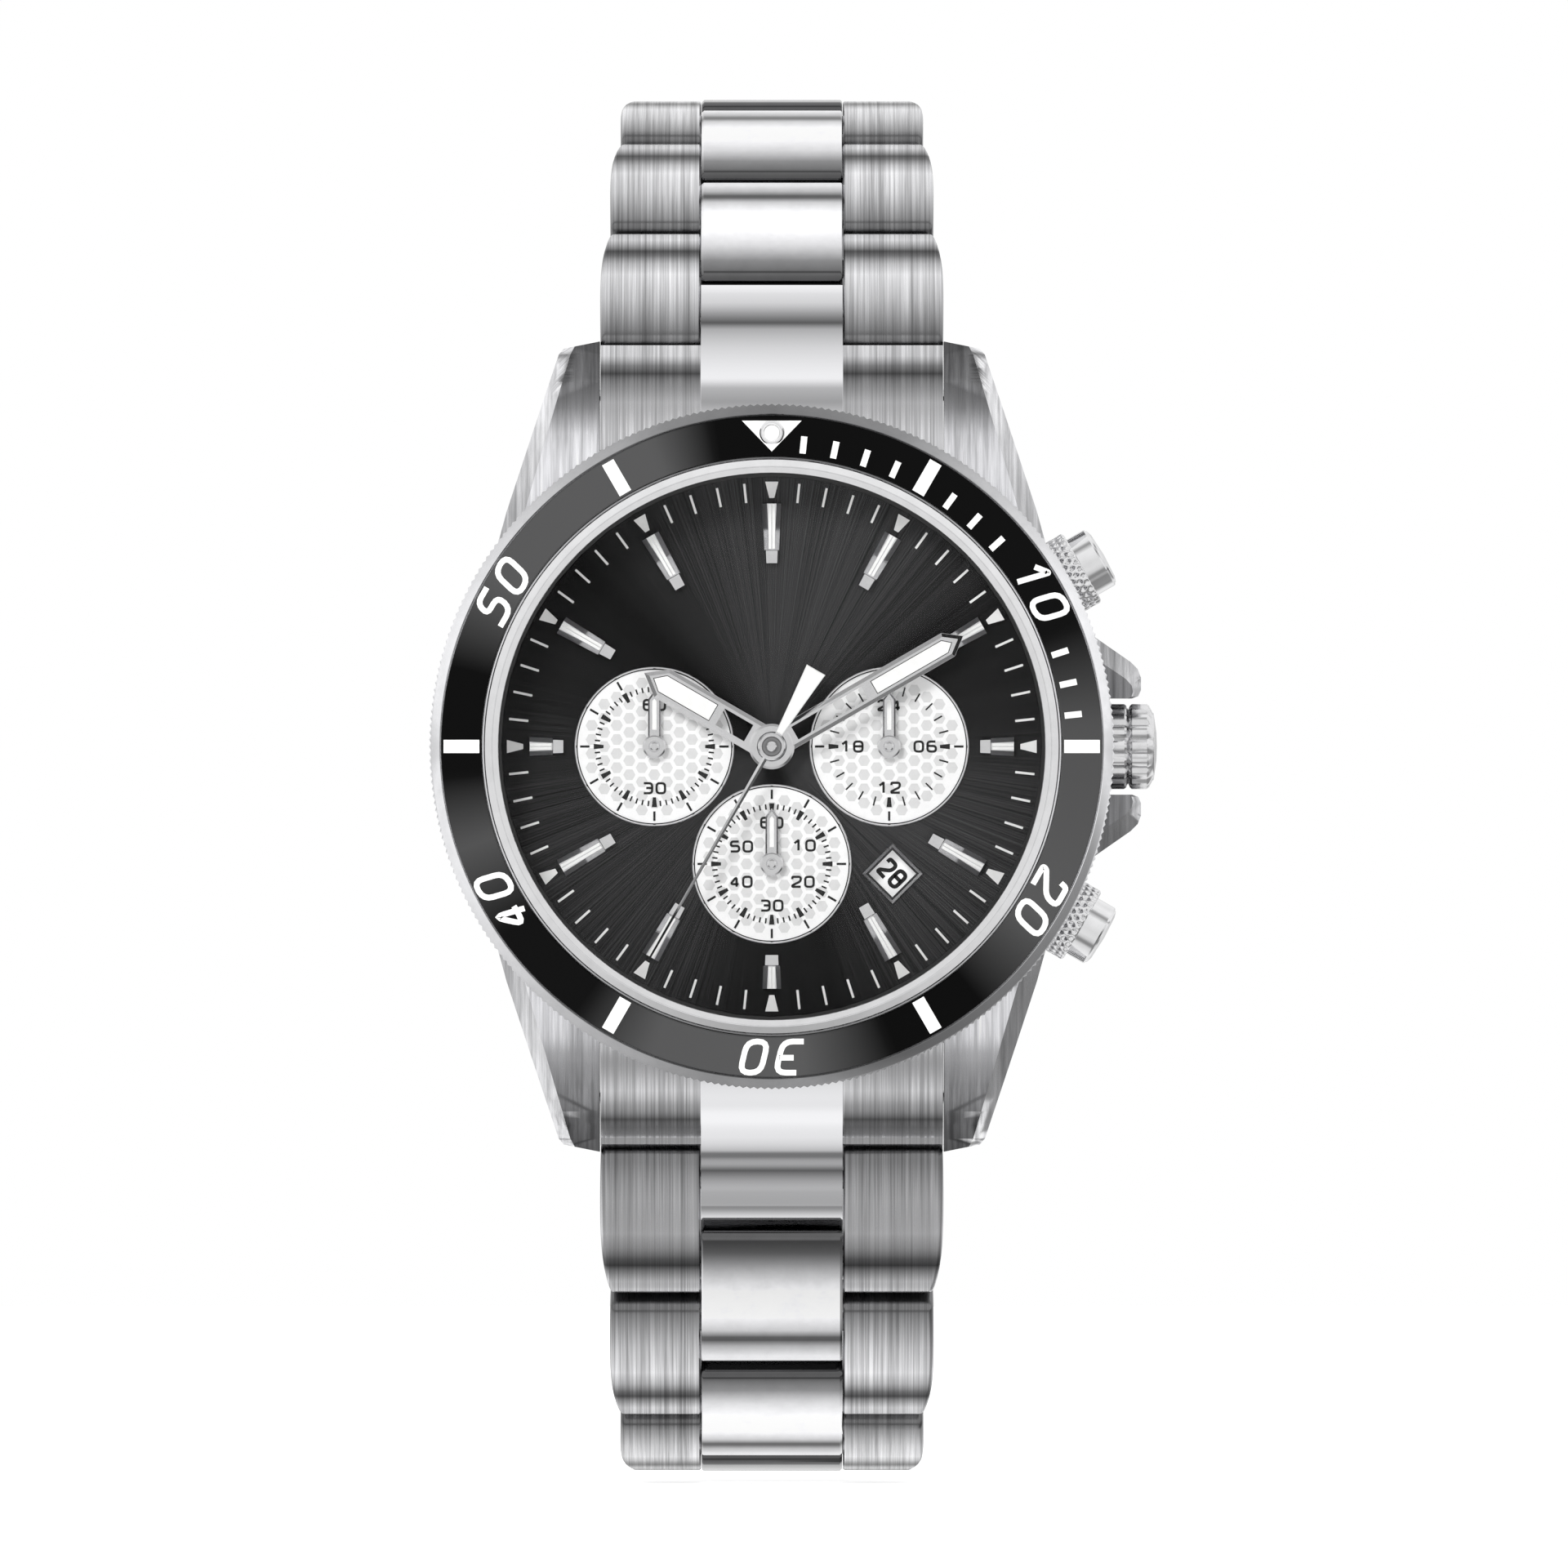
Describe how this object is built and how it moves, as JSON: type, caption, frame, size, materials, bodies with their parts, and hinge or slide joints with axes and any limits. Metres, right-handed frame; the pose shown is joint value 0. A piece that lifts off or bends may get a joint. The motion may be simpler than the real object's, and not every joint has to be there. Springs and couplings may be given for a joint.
{
  "type": "wristwatch",
  "caption": "Steel sports chronograph watch with turning bezel, screw-down pushers, three-row link bracelet and folding clasp.",
  "frame": {"origin": "centre of the case back's outer flat face", "axes": "+X towards 3 o'clock and the crown, +Z towards 12 o'clock, +Y out of the case back towards the wrist; the dial faces -Y"},
  "size_m": [0.0464, 0.0528, 0.0889],
  "materials": {
    "steel_brushed": "brushed",
    "steel_polished": "polished",
    "bezel_black": "gloss",
    "crystal_glass": "clear",
    "dial_black": "sunburst",
    "gasket_rubber": "matte",
    "holder_plastic": "matte",
    "movement_brass": "satin",
    "date_white": "matte"
  },
  "bodies": {
    "head": {"mid_case": "steel_brushed", "case_back": "steel_brushed", "case_back_gasket": "gasket_rubber", "crystal": "crystal_glass", "crystal_gasket": "holder_plastic", "dial": "dial_black", "movement_holder": "holder_plastic", "main_plate": "movement_brass", "train_bridge": "steel_brushed", "battery_cell": "steel_polished", "crown_tube": "steel_brushed", "pusher_tube_upper": "steel_brushed", "pusher_tube_lower": "steel_brushed", "end_link_12": "steel_brushed", "end_link_6": "steel_brushed", "lug_bar_12": "steel_polished", "lug_bar_6": "steel_polished"},
    "bezel": {"bezel_ring": "steel_polished", "bezel_insert": "bezel_black"},
    "setting_slide": {"setting_lever": "steel_brushed"},
    "crown_and_stem": {"crown": "steel_polished", "winding_stem": "steel_brushed"},
    "upper_pusher": {"pusher_cap_upper": "steel_polished"},
    "lower_pusher": {"pusher_cap_lower": "steel_polished"},
    "upper_collar": {"pusher_collar_upper": "steel_brushed"},
    "lower_collar": {"pusher_collar_lower": "steel_brushed"},
    "minute": {"minute_hand": "steel_polished"},
    "hour": {"hour_hand": "steel_polished"},
    "motion_wheel": {"minute_wheel": "movement_brass"},
    "day_hand": {"hand_24_hour": "steel_polished"},
    "small_seconds": {"small_seconds_hand": "steel_polished"},
    "sweep": {"chrono_seconds_hand": "steel_polished"},
    "chrono_minutes": {"chrono_minutes_hand": "steel_polished"},
    "date": {"date_wheel": "date_white"},
    "link_12_1o": {"outer_link_12_1": "steel_brushed"},
    "link_12_1c": {"centre_link_12_1": "steel_polished"},
    "link_12_2o": {"outer_link_12_2": "steel_brushed"},
    "link_12_2c": {"centre_link_12_2": "steel_polished"},
    "link_12_3o": {"outer_link_12_3": "steel_brushed"},
    "link_12_3c": {"centre_link_12_3": "steel_polished"},
    "link_12_4o": {"outer_link_12_4": "steel_brushed"},
    "link_12_4c": {"centre_link_12_4": "steel_polished"},
    "link_12_5o": {"outer_link_12_5": "steel_brushed"},
    "link_12_5c": {"centre_link_12_5": "steel_polished"},
    "link_12_6o": {"outer_link_12_6": "steel_brushed"},
    "link_6_1o": {"outer_link_6_1": "steel_brushed"},
    "link_6_1c": {"centre_link_6_1": "steel_polished"},
    "link_6_2o": {"outer_link_6_2": "steel_brushed"},
    "link_6_2c": {"centre_link_6_2": "steel_polished"},
    "link_6_3o": {"outer_link_6_3": "steel_brushed"},
    "link_6_3c": {"centre_link_6_3": "steel_polished"},
    "link_6_4o": {"outer_link_6_4": "steel_brushed"},
    "link_6_4c": {"centre_link_6_4": "steel_polished"},
    "link_6_5o": {"outer_link_6_5": "steel_brushed"},
    "link_6_5c": {"centre_link_6_5": "steel_polished"},
    "link_6_6o": {"outer_link_6_6": "steel_brushed"},
    "end_blade": {"clasp_end_blade": "steel_brushed"},
    "middle_blade": {"clasp_middle_blade": "steel_brushed"},
    "cover": {"clasp_cover": "steel_brushed"},
    "latch": {"clasp_safety_latch": "steel_polished"}
  },
  "joints": [
    {"name": "bezel_turn", "type": "hinge", "parent": "head", "child": "bezel", "pos_m": [0, -0.0095, 0], "axis": [0, 1, 0], "continuous": true},
    {"name": "end_blade_swing", "type": "hinge", "parent": "link_12_6o", "child": "end_blade", "pos_m": [0, 0.03798, 0.0203], "axis": [1, 0, 0], "range_deg": [0, 45]},
    {"name": "middle_blade_fold", "type": "hinge", "parent": "end_blade", "child": "middle_blade", "pos_m": [0, 0.03563, -0.01663], "axis": [-1, 0, 0], "range_deg": [0, 100]},
    {"name": "cover_open", "type": "hinge", "parent": "middle_blade", "child": "cover", "pos_m": [0, 0.03774, 0.01441], "axis": [1, 0, 0], "range_deg": [0, 90]},
    {"name": "latch_flip", "type": "hinge", "parent": "cover", "child": "latch", "pos_m": [0, 0.03823, 0.00627], "axis": [-1, 0, 0], "range_deg": [0, 100]},
    {"name": "crown_pull", "type": "slide", "parent": "head", "child": "setting_slide", "axis": [1, 0, 0], "range_m": [0, 0.002]},
    {"name": "crown_turn", "type": "hinge", "parent": "setting_slide", "child": "crown_and_stem", "pos_m": [0.02105, -0.0046, 0], "axis": [1, 0, 0], "continuous": true},
    {"name": "upper_pusher_press", "type": "slide", "parent": "head", "child": "upper_pusher", "axis": [-0.866, 0, -0.5], "range_m": [0, 0.0008], "stiffness_N_per_m": 1500, "springref_m": -0.0006},
    {"name": "lower_pusher_press", "type": "slide", "parent": "head", "child": "lower_pusher", "axis": [-0.866, 0, 0.5], "range_m": [0, 0.0008], "stiffness_N_per_m": 1500, "springref_m": -0.0006},
    {"name": "upper_collar_turn", "type": "hinge", "parent": "head", "child": "upper_collar", "pos_m": [0.01853, -0.0046, 0.0107], "axis": [0.866, 0, 0.5], "range_deg": [0, 540]},
    {"name": "lower_collar_turn", "type": "hinge", "parent": "head", "child": "lower_collar", "pos_m": [0.01853, -0.0046, -0.0107], "axis": [0.866, 0, -0.5], "range_deg": [0, 540]},
    {"name": "minute_turn", "type": "hinge", "parent": "head", "child": "minute", "pos_m": [0, -0.0086, 0], "axis": [0, 1, 0], "continuous": true},
    {"name": "hour_turn", "type": "hinge", "parent": "head", "child": "hour", "pos_m": [0, -0.0081, 0], "axis": [0, 1, 0], "continuous": true},
    {"name": "motion_wheel_turn", "type": "hinge", "parent": "head", "child": "motion_wheel", "pos_m": [0, -0.00612, 0.003], "axis": [0, 1, 0], "continuous": true},
    {"name": "day_hand_turn", "type": "hinge", "parent": "head", "child": "day_hand", "pos_m": [0.00749, -0.00762, 0], "axis": [0, 1, 0], "continuous": true},
    {"name": "small_seconds_turn", "type": "hinge", "parent": "head", "child": "small_seconds", "pos_m": [0, -0.00762, -0.00749], "axis": [0, 1, 0], "continuous": true},
    {"name": "sweep_turn", "type": "hinge", "parent": "head", "child": "sweep", "pos_m": [0, -0.00905, 0], "axis": [0, 1, 0], "continuous": true},
    {"name": "chrono_minutes_turn", "type": "hinge", "parent": "head", "child": "chrono_minutes", "pos_m": [-0.00749, -0.00762, 0], "axis": [0, 1, 0], "continuous": true},
    {"name": "date_turn", "type": "hinge", "parent": "head", "child": "date", "pos_m": [0, -0.0063, 0], "axis": [0, 1, 0], "continuous": true},
    {"name": "fold_12_1o", "type": "hinge", "parent": "head", "child": "link_12_1o", "pos_m": [0, -0.0006, 0.02695], "axis": [1, 0, 0], "range_deg": [0, 14]},
    {"name": "fold_12_1c", "type": "hinge", "parent": "link_12_1o", "child": "link_12_1c", "pos_m": [0, 0.00294, 0.03062], "axis": [1, 0, 0], "range_deg": [0, 6]},
    {"name": "fold_12_2o", "type": "hinge", "parent": "link_12_1c", "child": "link_12_2o", "pos_m": [0, 0.00685, 0.0339], "axis": [1, 0, 0], "range_deg": [0, 6]},
    {"name": "fold_12_2c", "type": "hinge", "parent": "link_12_2o", "child": "link_12_2c", "pos_m": [0, 0.01108, 0.03675], "axis": [1, 0, 0], "range_deg": [0, 8]},
    {"name": "fold_12_3o", "type": "hinge", "parent": "link_12_2c", "child": "link_12_3o", "pos_m": [0, 0.01566, 0.03898], "axis": [1, 0, 0], "range_deg": [0, 12]},
    {"name": "fold_12_3c", "type": "hinge", "parent": "link_12_3o", "child": "link_12_3c", "pos_m": [0, 0.02061, 0.04022], "axis": [1, 0, 0], "range_deg": [0, 16]},
    {"name": "fold_12_4o", "type": "hinge", "parent": "link_12_3c", "child": "link_12_4o", "pos_m": [0, 0.02571, 0.04004], "axis": [1, 0, 0], "range_deg": [0, 20]},
    {"name": "fold_12_4c", "type": "hinge", "parent": "link_12_4o", "child": "link_12_4c", "pos_m": [0, 0.03044, 0.03813], "axis": [1, 0, 0], "range_deg": [0, 19]},
    {"name": "fold_12_5o", "type": "hinge", "parent": "link_12_4c", "child": "link_12_5o", "pos_m": [0, 0.03428, 0.03478], "axis": [1, 0, 0], "range_deg": [0, 19]},
    {"name": "fold_12_5c", "type": "hinge", "parent": "link_12_5o", "child": "link_12_5c", "pos_m": [0, 0.03683, 0.03037], "axis": [1, 0, 0], "range_deg": [0, 17]},
    {"name": "fold_12_6o", "type": "hinge", "parent": "link_12_5c", "child": "link_12_6o", "pos_m": [0, 0.03798, 0.0254], "axis": [1, 0, 0], "range_deg": [0, 13]},
    {"name": "fold_6_1o", "type": "hinge", "parent": "head", "child": "link_6_1o", "pos_m": [0, -0.001, -0.0277], "axis": [-1, 0, 0], "range_deg": [0, 13]},
    {"name": "fold_6_1c", "type": "hinge", "parent": "link_6_1o", "child": "link_6_1c", "pos_m": [0, 0.00074, -0.03249], "axis": [-1, 0, 0], "range_deg": [0, 11]},
    {"name": "fold_6_2o", "type": "hinge", "parent": "link_6_1c", "child": "link_6_2o", "pos_m": [0, 0.00337, -0.03686], "axis": [-1, 0, 0], "range_deg": [0, 12]},
    {"name": "fold_6_2c", "type": "hinge", "parent": "link_6_2o", "child": "link_6_2c", "pos_m": [0, 0.00685, -0.04059], "axis": [-1, 0, 0], "range_deg": [0, 14]},
    {"name": "fold_6_3o", "type": "hinge", "parent": "link_6_2c", "child": "link_6_3o", "pos_m": [0, 0.01113, -0.04337], "axis": [-1, 0, 0], "range_deg": [0, 15]},
    {"name": "fold_6_3c", "type": "hinge", "parent": "link_6_3o", "child": "link_6_3c", "pos_m": [0, 0.01598, -0.04495], "axis": [-1, 0, 0], "range_deg": [0, 16]},
    {"name": "fold_6_4o", "type": "hinge", "parent": "link_6_3c", "child": "link_6_4o", "pos_m": [0, 0.02107, -0.04513], "axis": [-1, 0, 0], "range_deg": [0, 17]},
    {"name": "fold_6_4c", "type": "hinge", "parent": "link_6_4o", "child": "link_6_4c", "pos_m": [0, 0.026, -0.04381], "axis": [-1, 0, 0], "range_deg": [0, 18]},
    {"name": "fold_6_5o", "type": "hinge", "parent": "link_6_4c", "child": "link_6_5o", "pos_m": [0, 0.03028, -0.04103], "axis": [-1, 0, 0], "range_deg": [0, 19]},
    {"name": "fold_6_5c", "type": "hinge", "parent": "link_6_5o", "child": "link_6_5c", "pos_m": [0, 0.03342, -0.03701], "axis": [-1, 0, 0], "range_deg": [0, 18]},
    {"name": "fold_6_6o", "type": "hinge", "parent": "link_6_5c", "child": "link_6_6o", "pos_m": [0, 0.03516, -0.03222], "axis": [-1, 0, 0], "range_deg": [0, 14]}
  ],
  "couplings": [
    {"joint": "hour_turn", "follows": "minute_turn", "ratio": 0.083333},
    {"joint": "motion_wheel_turn", "follows": "minute_turn", "ratio": -0.33333},
    {"joint": "day_hand_turn", "follows": "minute_turn", "ratio": 0.041667},
    {"joint": "chrono_minutes_turn", "follows": "sweep_turn", "ratio": 0.016667}
  ]
}
